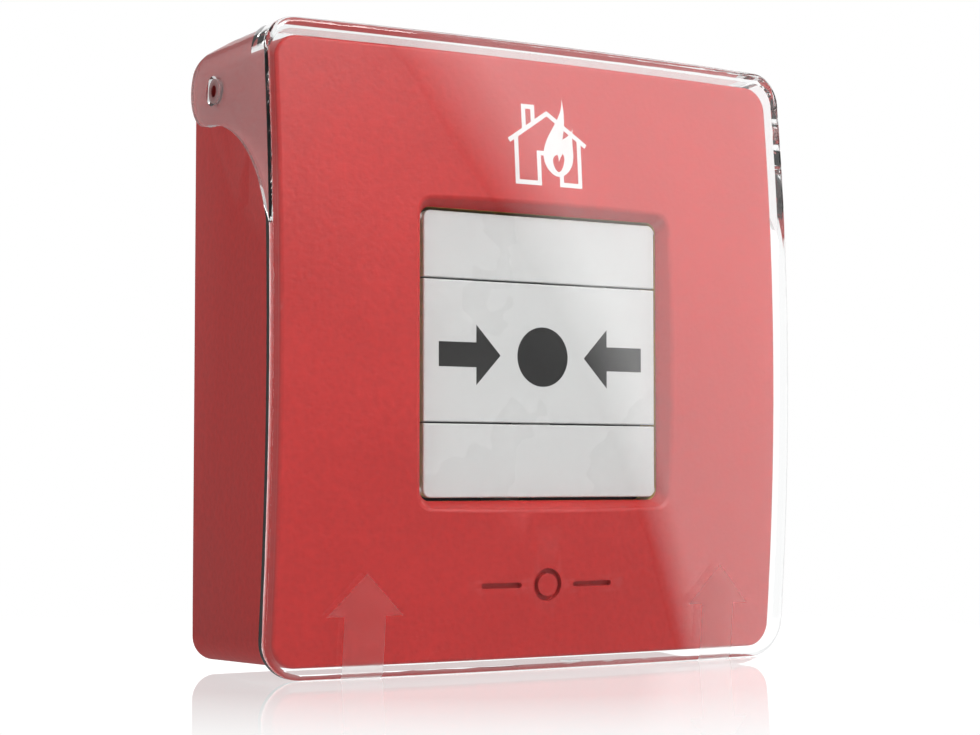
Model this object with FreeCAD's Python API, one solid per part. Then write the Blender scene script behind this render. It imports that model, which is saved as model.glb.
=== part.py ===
"""Manual call point: red housing, resettable call plate in three panels, clear lid, key reset.

Frame: origin at the centre of the wall face, +X to the right as seen from the front, +Y into the
wall, +Z up. The object stands in front of the wall, so all its depths are negative Y. Millimetres.
"""
import FreeCAD, Part
import math
import os

os.makedirs("parts", exist_ok=True)
Vec = FreeCAD.Vector
X_DIR = Vec(1, 0, 0)
Y_DIR = Vec(0, 1, 0)
Z_DIR = Vec(0, 0, 1)

# ---------------------------------------------------------------- driving dimensions
# housing
face_apex_y = -41.3            # most forward point of the red face
face_half_w = 59.5
face_half_h = 61.0
face_corner_r = 5.0
side_flare = 1.0               # the sides stand this much further out at the wall
pillow_r_vertical = 533.0      # curvature of the face seen from the side
pillow_r_horizontal = 618.0    # curvature of the face seen from above
housing_wall = 2.5

# window pocket and call element
plate_front_y = -37.5
plate_half_w = 27.95
plate_half_h = 28.65
plate_t = 1.8
plate_corner_r = 1.6
window_gap = 0.65              # between the plates and the pocket's throat
window_lean = 0.57             # the pocket widens by this much per mm towards the face
window_lip_r = 1.0
crease_top_z = 15.1            # middle of the gap between upper flap and call plate
crease_low_z = -13.7
crease_gap = 0.34
press_travel = 4.0

# lid
lid_apex_y = -44.6
lid_t = 2.5
lid_half_w = 62.5
lid_top_z = 64.5
lid_low_z = -63.4
lid_top_corner_r = 6.5
lid_low_corner_r = 8.0
lid_edge_r = 1.3
lid_top_wall_t = 2.3
lid_top_wall_back_y = -30.0
ear_inner_x = 60.8
hinge_y = -12.8
hinge_z = 53.1
hinge_pin_r = 2.5
hinge_shank_r = 1.8

# inside
panel_t = 2.6
board_front_y = -9.6
board_t = 1.6
chassis_front_y = -31.4        # front of the chassis walls, where the marker frame sits
chassis_plate_y = -23.0        # front of the chassis floor
chassis_floor_t = 1.5
cell_r = 8.3
cell_len = 34.0
cell_y = -12.6
cell_z = -46.0
cam_y = -20.6
tiny = 0.01

nodes = {}


# ---------------------------------------------------------------- shape helpers
def block(x0, x1, y0, y1, z0, z1):
    return Part.makeBox(x1 - x0, y1 - y0, z1 - z0, Vec(x0, y0, z0))


def rod(r, start, direction, length):
    return Part.makeCylinder(r, length, Vec(*start), direction)


def tube(r_out, r_in, start, direction, length):
    return rod(r_out, start, direction, length).cut(rod(r_in, start, direction, length))


def rounded_wire(half_w, z0, z1, r, y, r_low=None):
    """Closed rectangle with round corners in the plane at depth y; r_low is for the lower two."""
    if r_low is None:
        r_low = r
    s = r * (1 - math.sqrt(0.5))
    s_low = r_low * (1 - math.sqrt(0.5))
    p = [Vec(-half_w + r_low, y, z0), Vec(half_w - r_low, y, z0), Vec(half_w - s_low, y, z0 + s_low),
         Vec(half_w, y, z0 + r_low), Vec(half_w, y, z1 - r), Vec(half_w - s, y, z1 - s),
         Vec(half_w - r, y, z1), Vec(-half_w + r, y, z1), Vec(-half_w + s, y, z1 - s),
         Vec(-half_w, y, z1 - r), Vec(-half_w, y, z0 + r_low), Vec(-half_w + s_low, y, z0 + s_low)]
    edges = []
    for i in range(0, 12, 3):
        edges.append(Part.makeLine(p[i], p[i + 1]))
        edges.append(Part.Arc(p[i + 1], p[i + 2], p[(i + 3) % 12]).toShape())
    return Part.Wire(edges)


def rounded_prism(half_w, z0, z1, r, y0, y1, r_low=None):
    face = Part.Face(rounded_wire(half_w, z0, z1, r, y0, r_low))
    return face.extrude(Vec(0, y1 - y0, 0))


def polygon_xz(points, y0, y1):
    wire = Part.makePolygon([Vec(x, y0, z) for x, z in points + points[:1]])
    return Part.Face(wire).extrude(Vec(0, y1 - y0, 0))


def polygon_xy(points, z0, z1):
    wire = Part.makePolygon([Vec(x, y, z0) for x, y in points + points[:1]])
    return Part.Face(wire).extrude(Vec(0, 0, z1 - z0))


def pillow(apex_y, back_y=20.0):
    """Everything behind a doubly curved front whose most forward point is at apex_y."""
    reach = 90.0
    swing = 8.5
    sag = pillow_r_vertical - math.sqrt(pillow_r_vertical ** 2 - reach ** 2)
    low = Vec(0, apex_y + sag, -reach)
    high = Vec(0, apex_y + sag, reach)
    arc = Part.Arc(low, Vec(0, apex_y, 0), high).toShape()
    rim = Part.makePolygon([high, Vec(0, back_y, reach), Vec(0, back_y, -reach), low])
    face = Part.Face(Part.Wire([arc] + rim.Edges))
    axis_point = Vec(0, apex_y + pillow_r_horizontal, 0)
    face.rotate(axis_point, Z_DIR, -swing)
    return face.revolve(axis_point, Z_DIR, 2 * swing)


def edges_on_front(shape, y_limit):
    """Edges that lie wholly in front of y_limit."""
    return [e for e in shape.Edges if e.BoundBox.YMax < y_limit]


def helix_spring(mean_r, wire_r, start, direction, length, turns):
    """Compression spring as one swept solid; its eight-sided wire has a round wire's area."""
    path = Part.makeHelix(length / turns, length - 2 * wire_r, mean_r)
    sides = 8
    corner_r = wire_r * math.sqrt(2 * math.pi / (sides * math.sin(2 * math.pi / sides)))
    corners = []
    for i in range(sides + 1):
        a = 2 * math.pi * (i + 0.5) / sides
        corners.append(Vec(mean_r + corner_r * math.cos(a), 0, corner_r * math.sin(a)))
    section = Part.makePolygon(corners)
    coil = Part.Wire(path.Edges).makePipeShell([section], True, True)
    coil.translate(Vec(0, 0, wire_r))
    turn = FreeCAD.Rotation(Z_DIR, direction)
    coil.Placement = FreeCAD.Placement(Vec(*start), turn).multiply(coil.Placement)
    return coil


def screw(head_r, head_h, shank_r, shank_len, head_at, direction):
    """Pan-head screw with a cross recess; direction points from the head along the shank."""
    head = rod(head_r, (0, 0, -head_h), Z_DIR, head_h)
    head = head.makeFillet(head_h * 0.45, [e for e in head.Edges if e.BoundBox.ZMax < -head_h + tiny])
    shape = head.fuse(rod(shank_r, (0, 0, 0), Z_DIR, shank_len)).removeSplitter()
    arm = head_r * 0.55
    slot = head_r * 0.16
    depth = head_h * 0.55
    cross = block(-arm, arm, -slot, slot, -head_h - 1, -head_h + depth)
    cross = cross.fuse(block(-slot, slot, -arm, arm, -head_h - 1, -head_h + depth))
    shape = shape.cut(cross)
    shape.Placement = FreeCAD.Placement(Vec(*head_at), FreeCAD.Rotation(Z_DIR, direction))
    return shape


def group(shapes):
    solids = []
    for s in shapes:
        solids += s.Solids
    return Part.makeCompound(solids)


# ---------------------------------------------------------------- signs on the face
sign_depth = 0.35
sign_proud = 0.04
mark_depth = 1.2
house_base_z = 34.9
house_line = 0.95


def stroke(a, b, width, y0, y1):
    """Straight bar of the given width from a to b in the XZ plane."""
    dx, dz = b[0] - a[0], b[1] - a[1]
    n = math.hypot(dx, dz)
    ox, oz = -dz / n * width / 2, dx / n * width / 2
    corners = [(a[0] + ox, a[1] + oz), (b[0] + ox, b[1] + oz), (b[0] - ox, b[1] - oz), (a[0] - ox, a[1] - oz)]
    return polygon_xz(corners, y0, y1)


def curved_prism(points, y0, y1):
    """Closed outline whose spans are smooth curves; each entry is a list of points of one span."""
    edges = []
    for span in points:
        pts = [Vec(x, y0, z) for x, z in span]
        if len(pts) == 2:
            edges.append(Part.makeLine(pts[0], pts[1]))
        else:
            curve = Part.BSplineCurve()
            curve.interpolate(pts)
            edges.append(curve.toShape())
    return Part.Face(Part.Wire(edges)).extrude(Vec(0, y1 - y0, 0))


def burning_house_prism(y0, y1):
    """Outline of a house with a flame in front of it, as a deep prism."""
    w = house_line
    wall_x = 7.6
    eave = (9.3, 8.9)
    ridge = (0.0, 15.1)
    base = w / 2
    bars = [
        stroke((-eave[0], eave[1]), ridge, w, y0, y1),
        stroke(ridge, eave, w, y0, y1),
        stroke((-wall_x, base - w / 2), (-wall_x, 9.9), w, y0, y1),
        stroke((-wall_x, base), (-1.8, base), w, y0, y1),
        stroke((-2.3, base - w / 2), (-2.3, 7.2), w, y0, y1),
        stroke((-2.7, 6.75), (0.5, 6.75), w, y0, y1),
        stroke((wall_x, base - w / 2), (wall_x, 9.9), w, y0, y1),
        stroke((wall_x, base), (2.6, base), w, y0, y1),
        stroke((3.1, base - w / 2), (3.1, 3.2), w, y0, y1),
        stroke((-5.6, 11.2), (-5.6, 16.6), w, y0, y1),
        stroke((-6.07, 16.2), (-2.93, 16.2), w, y0, y1),
        stroke((-3.4, 12.6), (-3.4, 16.6), w, y0, y1),
    ]
    knob = polygon_xz([(-0.6, 14.7), (0.6, 14.7), (0.0, 15.7)], y0, y1)
    shape = bars[0]
    for bar in bars[1:] + [knob]:
        shape = shape.fuse(bar)
    flame = curved_prism([
        [(3.9, 18.4), (2.5, 14.0), (-0.6, 8.8), (-0.9, 4.9), (2.4, 2.1), (5.7, 4.6), (6.1, 8.2), (6.4, 12.6)],
        [(6.4, 12.6), (5.2, 11.0), (3.6, 10.0)],
        [(3.6, 10.0), (4.1, 12.4), (3.9, 18.4)],
    ], y0, y1)
    core = curved_prism([
        [(2.2, 6.7), (1.2, 4.6), (2.4, 3.1), (3.7, 4.8), (3.5, 7.0)],
        [(3.5, 7.0), (2.9, 6.0), (2.5, 5.2)],
        [(2.5, 5.2), (2.5, 5.9), (2.2, 6.7)],
    ], y0, y1)
    shape = shape.fuse(flame).cut(core).removeSplitter()
    shape.translate(Vec(0, 0, house_base_z))
    return shape


def maker_mark_prism(y0, y1):
    """Plain generic mark: a ring between two bars."""
    z = -46.3
    ring = tube(3.3, 2.3, (0, y0, z), Y_DIR, y1 - y0)
    shapes = [ring]
    for side in (-1, 1):
        near, far = 6.2, 15.6
        bar = block(min(side * near, side * far), max(side * near, side * far), y0, y1, z - 0.55, z + 0.55)
        bar = bar.makeFillet(0.5, [e for e in bar.Edges if abs(e.tangentAt(e.FirstParameter).y) > 0.9])
        shapes.append(bar)
    return group(shapes)


def face_skin(prism, front, back):
    """The part of a deep prism that lies between two depths under the curved face."""
    return prism.common(pillow(face_apex_y + front)).cut(pillow(face_apex_y + back))


# ---------------------------------------------------------------- housing
throat_w = plate_half_w + window_gap
throat_h = plate_half_h + window_gap
throat_r = plate_corner_r + 0.6
throat_back_y = -37.0
collar_w = 32.2
collar_h = 32.9
screw_post_x = 41.0
screw_post_z = 30.0
cover_screw_x = 27.0


def flared_prism(inset, y_front=-60.0, y_back=0.0):
    """Four-sided taper of the housing's sides, inset by the given amount, between two depths."""
    wires = []
    for y in (y_front, y_back):
        grow = side_flare * (y - face_apex_y) / (0 - face_apex_y) - inset
        r = max(face_corner_r - inset, 1.5)
        wires.append(rounded_wire(face_half_w + grow, -face_half_h - grow, face_half_h + grow, r, y))
    return Part.makeLoft(wires, True, True)


def window_cutter():
    """Opening with a short straight throat and sides that lean outwards."""
    wires = []
    for y in (throat_back_y - 0.1, -46.0):
        grow = window_lean * (throat_back_y - 0.1 - y)
        corner_r = throat_r + grow * 0.4
        wires.append(rounded_wire(throat_w + grow, -throat_h - grow, throat_h + grow, corner_r, y))
    lean = Part.makeLoft(wires, True, True)
    return lean.fuse(rounded_prism(throat_w, -throat_h, throat_h, throat_r, throat_back_y - 0.1, -30.0))


def make_housing():
    outer = flared_prism(0).common(pillow(face_apex_y))
    window = window_cutter()
    outer = outer.cut(window)
    lip = [e for e in edges_on_front(outer, -38.0) if abs(e.BoundBox.Center.x) < 34 and
           abs(e.BoundBox.Center.z) < 34 and e.BoundBox.DiagonalLength < 75]
    outer = outer.makeFillet(window_lip_r, lip)
    rim = [e for e in edges_on_front(outer, -34.0) if abs(e.BoundBox.Center.x) > 53 or
           abs(e.BoundBox.Center.z) > 54]
    outer = outer.makeFillet(0.8, rim)
    hollow = flared_prism(housing_wall, y_back=1.0).common(pillow(face_apex_y + housing_wall, 1.0))
    collar = rounded_prism(collar_w, -collar_h, collar_h, 3.0, -45, throat_back_y)
    hollow = hollow.cut(collar)
    shell = outer.cut(hollow)
    for x in (-screw_post_x, screw_post_x):
        for z in (-screw_post_z, screw_post_z):
            post = rod(3.6, (x, -40.0, z), Y_DIR, 14.0).common(pillow(face_apex_y + 1.0))
            shell = shell.fuse(post)
            shell = shell.cut(rod(1.15, (x, -36.0, z), Y_DIR, 11.0))
    for side in (-1, 1):
        boss = rod(4.0, (side * 58.5, hinge_y, hinge_z), X_DIR * -side, 4.5)
        shell = shell.fuse(boss)
        shell = shell.cut(rod(hinge_shank_r, (side * 64.0, hinge_y, hinge_z), X_DIR * -side, 9.6))
        hook_bar = block(side * 20 - 7, side * 20 + 7, -7.4, -5.4, 56.2, 59.6)
        shell = shell.fuse(hook_bar)
        x = side * cover_screw_x
        shell = shell.cut(rod(1.7, (x, -6.5, -64), Z_DIR, 6))
        shell = shell.cut(rod(3.1, (x, -6.5, -64), Z_DIR, 3.8))
    shell = shell.cut(rod(5.0, (0, cam_y, -64), Z_DIR, 6))
    return shell.removeSplitter()


housing = make_housing()
house_prism = burning_house_prism(-46, -36)
mark_prism = maker_mark_prism(-46, -36)
housing = housing.cut(face_skin(house_prism, -1.0, sign_depth))
housing = housing.cut(face_skin(mark_prism, -1.0, mark_depth))
nodes["housing"] = housing
nodes["burning_house_sign"] = face_skin(house_prism, -sign_proud, sign_depth)


# ---------------------------------------------------------------- lid and its hinge pins
def make_lid_blank(shrink=0.0):
    """Lid plate with rounded front edges, optionally smaller all round by shrink."""
    blank = rounded_prism(lid_half_w - shrink, lid_low_z + shrink, lid_top_z - shrink,
                          lid_top_corner_r - shrink, -60, 0, lid_low_corner_r - shrink)
    blank = blank.common(pillow(lid_apex_y + shrink))
    front = edges_on_front(blank, -30.0)
    return blank.makeFillet(lid_edge_r - shrink, front)


def ear_profile(x0, x1):
    """Side view of an ear: rounded hinge end, sloping top, large arc down to the lid plate."""
    end_y, end_z, end_r = -9.5, 54.0, 7.6
    arc_r = 30.0
    low = end_z - end_r
    k = math.sqrt(0.5)
    p0 = Vec(x0, -43.0, low - arc_r)
    p1 = Vec(x0, end_y - arc_r, low - arc_r)
    p2 = Vec(x0, end_y, low)
    p3 = Vec(x0, end_y, end_z + end_r)
    p4 = Vec(x0, -43.0, lid_top_z)
    edges = [
        Part.makeLine(p0, p1),
        Part.Arc(p1, Vec(x0, end_y - arc_r * k, low - arc_r + arc_r * k), p2).toShape(),
        Part.Arc(p2, Vec(x0, end_y + end_r, end_z), p3).toShape(),
        Part.makeLine(p3, p4),
        Part.makeLine(p4, p0),
    ]
    return Part.Face(Part.Wire(edges)).extrude(Vec(x1 - x0, 0, 0))


lift_arrow_film = 0.15
lift_arrow_x = (-42.0, 43.0)


def lift_arrow_prism(x):
    """Upward arrow whose shaft runs down over the lid's bottom edge."""
    tip, head, shoulder = -43.2, -51.4, 8.0
    shaft = 4.3
    outline = [(x, tip), (x + shoulder, head), (x + shaft, head), (x + shaft, -70.0),
               (x - shaft, -70.0), (x - shaft, head), (x - shoulder, head)]
    return polygon_xz(outline, -60, lid_apex_y + 6.4)


def make_lid():
    blank = make_lid_blank()
    plate = blank.cut(pillow(lid_apex_y + lid_t))
    inner_top = lid_top_z - lid_top_wall_t
    ring = rounded_prism(lid_half_w, lid_low_z, lid_top_z, lid_top_corner_r, -43.0, lid_top_wall_back_y)
    inner_r = lid_top_corner_r - lid_half_w + ear_inner_x
    ring = ring.cut(rounded_prism(ear_inner_x, -80, inner_top, inner_r, -50.0, -20.0))
    skirt = ring.common(ear_profile(-70, 70)).common(blank)
    lid = plate.fuse(skirt)
    for side in (-1, 1):
        x0, x1 = sorted((side * ear_inner_x, side * 70))
        lid = lid.fuse(ear_profile(x0, x1).common(blank))
        lid = lid.cut(rod(hinge_pin_r + 0.05, (side * 58, hinge_y, hinge_z), X_DIR * side, 8))
        rim = Part.makeCone(hinge_pin_r + 0.05, hinge_pin_r + 0.6, 0.55,
                            Vec(side * (lid_half_w - 0.5), hinge_y, hinge_z), X_DIR * side)
        lid = lid.cut(rim)
    return lid.removeSplitter()


def make_lift_arrow(x):
    blank = make_lid_blank()
    core = make_lid_blank(lift_arrow_film)
    return lift_arrow_prism(x).common(blank).cut(core)


lid = make_lid()
lift_arrows = [make_lift_arrow(x) for x in lift_arrow_x]
for film in lift_arrows:
    lid = lid.cut(film)
nodes["protective_lid"] = lid
nodes["lift_arrows"] = group(lift_arrows)

for name, side in (("hinge_pin_left", -1), ("hinge_pin_right", 1)):
    head = rod(hinge_pin_r, (side * 60.25, hinge_y, hinge_z), X_DIR * side, 2.0)
    shank = rod(hinge_shank_r, (side * 54.6, hinge_y, hinge_z), X_DIR * side, 5.8)
    dimple = rod(1.2, (side * 61.6, hinge_y, hinge_z), X_DIR * side, 2.0)
    pin = head.fuse(shank).removeSplitter()
    pin = pin.cut(dimple)
    nodes[name] = pin


# ---------------------------------------------------------------- call element
flap_axis_y = plate_front_y + plate_t          # trunnions half sunk in the flaps' backs
flap_axis_top_z = 27.3
flap_axis_low_z = -27.3
trunnion_r = 0.9
plate_top_z = crease_top_z - crease_gap / 2
plate_low_z = crease_low_z + crease_gap / 2


def soft_front(shape, r):
    """Rounds the edges of the front face."""
    front = [e for e in shape.Edges if e.BoundBox.YMax < plate_front_y + tiny]
    return shape.makeFillet(r, front)


def plate_block(z0, z1):
    full = rounded_prism(plate_half_w, -plate_half_h, plate_half_h, plate_corner_r,
                         plate_front_y, plate_front_y + plate_t)
    return full.common(block(-40, 40, -50, 0, z0, z1))


def make_flap(upper):
    if upper:
        z_inner, z_outer, z_axis, side = crease_top_z + crease_gap / 2, 40, flap_axis_top_z, 1
    else:
        z_inner, z_outer, z_axis, side = crease_low_z - crease_gap / 2, -40, flap_axis_low_z, -1
    flap = soft_front(plate_block(min(z_inner, z_outer), max(z_inner, z_outer)), 0.3)
    for x in (-1, 1):
        flap = flap.fuse(rod(trunnion_r, (x * (plate_half_w - 2.0), flap_axis_y, z_axis), X_DIR * x, 4.3))
        x0, x1 = sorted((x * 20.0, x * 21.2))
        flap = flap.fuse(block(x0, x1, flap_axis_y - 0.2, flap_axis_y + 1.0, min(z_axis, z_inner + side * 2),
                               max(z_axis, z_inner + side * 2)))
    return flap.removeSplitter()


dot_r = 6.1
arrow_tip_x = 10.1
arrow_head_x = 15.8
arrow_tail_x = 24.5
arrow_head_half = 6.1
arrow_shaft_half = 2.5
symbol_depth = 0.4


def symbol_prisms():
    shapes = [rod(dot_r, (0, plate_front_y - 0.02, 0), Y_DIR, symbol_depth)]
    outline = [(arrow_tip_x, 0), (arrow_head_x, arrow_head_half), (arrow_head_x, arrow_shaft_half),
               (arrow_tail_x, arrow_shaft_half), (arrow_tail_x, -arrow_shaft_half),
               (arrow_head_x, -arrow_shaft_half), (arrow_head_x, -arrow_head_half)]
    for side in (-1, 1):
        points = [(side * x, z) for x, z in outline]
        shapes.append(polygon_xz(points, plate_front_y - 0.02, plate_front_y + symbol_depth - 0.02))
    return shapes


symbols = symbol_prisms()
call_plate = soft_front(plate_block(plate_low_z, plate_top_z), 0.3)
for symbol in symbols:
    call_plate = call_plate.cut(symbol)
nodes["upper_flap"] = make_flap(True)
nodes["lower_flap"] = make_flap(False)
nodes["call_plate"] = call_plate
nodes["arrows_and_dot"] = group(symbols)

# carrier behind the call plate
carrier_front_y = plate_front_y + plate_t
carrier_t = 2.0
sleeve_x = 20.0
sleeve_z = 0.7
sleeve_end_y = -27.5
guide_r = 2.0
cam_follower_y = -31.0
switch_mid_z = 20.5
finger_x = (12.4, 15.0)
finger_z = (switch_mid_z - 1.4, switch_mid_z + 1.4)
finger_tip_y = -21.3


def make_carrier():
    back_y = carrier_front_y + carrier_t
    body = block(-26.2, 26.2, carrier_front_y, back_y, -12.6, 14.0)
    body = body.makeFillet(1.5, [e for e in body.Edges if abs(e.tangentAt(e.FirstParameter).y) > 0.9])
    for side in (-1, 1):
        sleeve_len = sleeve_end_y - back_y + 0.5
        body = body.fuse(rod(3.5, (side * sleeve_x, back_y - 0.5, sleeve_z), Y_DIR, sleeve_len))
        body = body.fuse(block(side * 8 - 0.8, side * 8 + 0.8, back_y - 0.2, back_y + 1.2, -11.5, 12.9))
    body = body.fuse(block(11.0, 17.6, back_y - 1.0, back_y + 1.2, 10.0, finger_z[1]))
    body = body.fuse(block(finger_x[0], finger_x[1], back_y, finger_tip_y, finger_z[0], finger_z[1]))
    body = body.fuse(block(-3.5, 3.5, back_y - 1.0, cam_follower_y, -21.5, -10.0))
    for side in (-1, 1):
        bore = rod(guide_r + 0.06, (side * sleeve_x, carrier_front_y + 0.6, sleeve_z), Y_DIR, 20)
        body = body.cut(bore)
    return body.removeSplitter()


nodes["plate_carrier"] = make_carrier()
nodes["guide_pins"] = group([rod(guide_r, (side * sleeve_x, chassis_plate_y - 7.8, sleeve_z), Y_DIR, 9.3)
                             for side in (-1, 1)])
spring_start_y = carrier_front_y + carrier_t + 0.35
nodes["plate_springs"] = group([
    helix_spring(4.3, 0.32, (side * sleeve_x, spring_start_y, sleeve_z), Y_DIR,
                 chassis_plate_y - 0.35 - spring_start_y, 6)
    for side in (-1, 1)])


# ---------------------------------------------------------------- marker frame and chassis
frame_outer_w = 32.0
frame_outer_h = 32.7
frame_front_y = throat_back_y + 0.1


def make_marker_frame():
    ring = rounded_prism(frame_outer_w, -frame_outer_h, frame_outer_h, 2.8, frame_front_y, chassis_front_y)
    ring = ring.cut(rounded_prism(throat_w, -throat_h, throat_h, throat_r,
                                  frame_front_y - 1, chassis_front_y + 1))
    for z in (flap_axis_top_z, flap_axis_low_z):
        ring = ring.cut(rod(trunnion_r + 0.06, (-30.6, flap_axis_y, z), X_DIR, 61.2))
    return ring


chassis_side_w = frame_outer_w
chassis_side_h = frame_outer_h
board_post_x = 26.0
board_post_z = (-24.0, 27.5)


def make_chassis():
    floor_back = chassis_plate_y + chassis_floor_t
    body = rounded_prism(chassis_side_w, -chassis_side_h, chassis_side_h, 2.8, chassis_front_y, floor_back)
    body = body.cut(rounded_prism(chassis_side_w - 2.0, -chassis_side_h + 2.0, chassis_side_h - 2.0, 1.2,
                                  chassis_front_y - 1, chassis_plate_y))
    for x in (-screw_post_x, screw_post_x):
        for z in (-screw_post_z, screw_post_z):
            inner = 31.0 * (1 if x > 0 else -1)
            x0, x1 = sorted((inner, x))
            body = body.fuse(block(x0, x1, -25.9, -24.1, z - 4.0, z + 4.0))
            body = body.fuse(rod(4.0, (x, -25.9, z), Y_DIR, 1.8))
            body = body.cut(rod(1.45, (x, -27, z), Y_DIR, 4))
    for x in (-board_post_x, board_post_x):
        for z in board_post_z:
            body = body.fuse(rod(2.6, (x, floor_back - 0.5, z), Y_DIR, board_front_y - floor_back + 0.5))
            body = body.cut(rod(0.95, (x, board_front_y - 7, z), Y_DIR, 8))
    for side in (-1, 1):
        body = body.fuse(tube(3.4, guide_r, (side * sleeve_x, chassis_plate_y, sleeve_z), Y_DIR, 4.0))
        body = body.cut(rod(guide_r, (side * sleeve_x, chassis_plate_y - 1, sleeve_z), Y_DIR, 2.5))
    finger_slot = block(finger_x[0] - 1.0, finger_x[1] + 1.0, -26, -19, finger_z[0] - 1.0, finger_z[1] + 1.0)
    body = body.cut(finger_slot)
    body = body.cut(block(-6.6, 6.6, -25.6, -15, -40, -14.6))
    body = body.fuse(block(-6.0, 6.0, chassis_plate_y, -15.8, -14.6, -11.6))
    body = body.cut(rod(2.06, (0, cam_y, -16), Z_DIR, 6))
    return body.removeSplitter()


nodes["marker_frame"] = make_marker_frame()
nodes["mechanism_chassis"] = make_chassis()
nodes["chassis_screws"] = group([screw(2.7, 1.6, 1.15, 8.0, (x, -24.1, z), -Y_DIR)
                                 for x in (-screw_post_x, screw_post_x)
                                 for z in (-screw_post_z, screw_post_z)])


def make_detent_spring(side):
    """Bent steel strip on the chassis floor; its nose points at the carrier's edge."""
    t = 0.35
    x = side * 28.6
    nose = side * 26.9
    foot_y = chassis_plate_y - t / 2
    path = [(x - side * 3.2, foot_y), (x, foot_y), (x, -28.2), (nose, -30.2), (x - side * 0.2, -31.0)]
    left = []
    right = []
    for i, (px, py) in enumerate(path):
        a = path[max(i - 1, 0)]
        b = path[min(i + 1, len(path) - 1)]
        dx, dy = b[0] - a[0], b[1] - a[1]
        n = math.hypot(dx, dy)
        left.append((px - dy / n * t / 2, py + dx / n * t / 2))
        right.append((px + dy / n * t / 2, py - dx / n * t / 2))
    return polygon_xy(left + right[::-1], -6.0, -1.0)


nodes["detent_springs"] = group([make_detent_spring(side) for side in (-1, 1)])


# ---------------------------------------------------------------- key reset
cam_shaft_r = 4.0


def make_reset_cam():
    shaft = rod(cam_shaft_r, (0, cam_y, -60.8), Z_DIR, 36.0)
    shaft = shaft.fuse(rod(2.8, (0, cam_y, -25.0), Z_DIR, 10.0))
    shaft = shaft.fuse(rod(2.0, (0, cam_y, -15.2), Z_DIR, 3.4))
    shaft = shaft.fuse(rod(5.6, (0, cam_y, -58.1), Z_DIR, 1.2))
    lobe = polygon_xy([(-2.4, cam_y - 2.4), (-2.4, cam_y + 2.4), (5.2, cam_y + 1.2), (5.9, cam_y),
                       (5.2, cam_y - 1.2)], -21.2, -17.0)
    shaft = shaft.fuse(lobe)
    for side in (-1, 1):
        shaft = shaft.cut(block(side * 1.9 - 0.6, side * 1.9 + 0.6, cam_y - 1.2, cam_y + 1.2, -62, -55.5))
    return shaft.removeSplitter()


nodes["reset_cam"] = make_reset_cam()
bush = tube(5.0, cam_shaft_r + 0.07, (0, cam_y, -61.3), Z_DIR, 2.85)
bush = bush.fuse(tube(7.2, cam_shaft_r + 0.07, (0, cam_y, -58.75), Z_DIR, 0.5))
nodes["key_bush"] = bush.removeSplitter()
nodes["reset_spring"] = helix_spring(5.0, 0.3, (0, cam_y, -56.4), Z_DIR, 6.0, 7)


# ---------------------------------------------------------------- microswitch
switch_x = (12.0, 26.0)
switch_z = (switch_mid_z - 3.0, switch_mid_z + 3.0)
switch_top_y = -15.4
lever_axis_x = 25.0
lever_axis_y = -15.9
lever_len = 12.5
lever_angle = math.degrees(math.asin(press_travel / lever_len)) + 2.5


def make_switch_body():
    body = block(switch_x[0], switch_x[1], switch_top_y, board_front_y, switch_z[0], switch_z[1])
    body = body.makeFillet(0.4, [e for e in body.Edges if e.BoundBox.YMax < switch_top_y + tiny])
    for z in (switch_z[0], switch_z[1] - 0.9):
        lug = block(lever_axis_x - 1.0, lever_axis_x + 1.0, lever_axis_y - 0.9, switch_top_y + 0.5,
                    z, z + 0.9)
        body = body.fuse(lug)
    body = body.cut(rod(0.46, (lever_axis_x, lever_axis_y, switch_z[0] - 1), Z_DIR, 8))
    body = body.cut(rod(0.96, (lever_axis_x - 4.0, switch_top_y - 1, switch_mid_z), Y_DIR, 4.0))
    return body.removeSplitter()


def make_switch_lever():
    strip = block(-lever_len - 1.5, 0, -0.15, 0.15, switch_mid_z - 1.8, switch_mid_z + 1.8)
    strip = strip.fuse(rod(0.4, (0, 0, switch_z[0] + 0.1), Z_DIR, switch_z[1] - switch_z[0] - 0.2))
    strip = strip.removeSplitter()
    strip.rotate(Vec(0, 0, 0), Z_DIR, lever_angle)
    strip.translate(Vec(lever_axis_x, lever_axis_y, 0))
    return strip


nodes["switch_body"] = make_switch_body()
nodes["switch_lever"] = make_switch_lever()
plunger = rod(0.9, (lever_axis_x - 4.0, switch_top_y - 1.25, switch_mid_z), Y_DIR, 2.6)
plunger_tip = [e for e in plunger.Edges if e.BoundBox.YMax < switch_top_y - 1.2]
nodes["switch_plunger"] = plunger.makeFillet(0.4, plunger_tip)


# ---------------------------------------------------------------- circuit board
board_w = 37.0
board_z = (-33.0, 50.0)
board_back_y = board_front_y + board_t


def make_board():
    mid = (board_z[0] + board_z[1]) / 2
    half = (board_z[1] - board_z[0]) / 2
    board = rounded_prism(board_w, -half, half, 2.0, board_front_y, board_back_y)
    board.translate(Vec(0, 0, mid))
    for x in (-board_post_x, board_post_x):
        for z in board_post_z:
            board = board.cut(rod(1.1, (x, board_front_y - 1, z), Y_DIR, 4))
    return board


nodes["circuit_board"] = make_board()
nodes["board_screws"] = group([screw(2.2, 1.3, 0.95, 6.0, (x, board_back_y, z), -Y_DIR)
                               for x in (-board_post_x, board_post_x) for z in board_post_z])

chip_places = (  # x, z, width, height, thickness on the board's wall side
    (-8.0, 8.0, 10.0, 10.0, 1.4), (9.0, 12.0, 7.0, 5.0, 1.2), (-22.0, 2.0, 5.0, 6.0, 1.6),
    (14.0, -8.0, 6.0, 6.0, 1.1), (-10.0, -12.0, 8.0, 4.0, 1.5))


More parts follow.
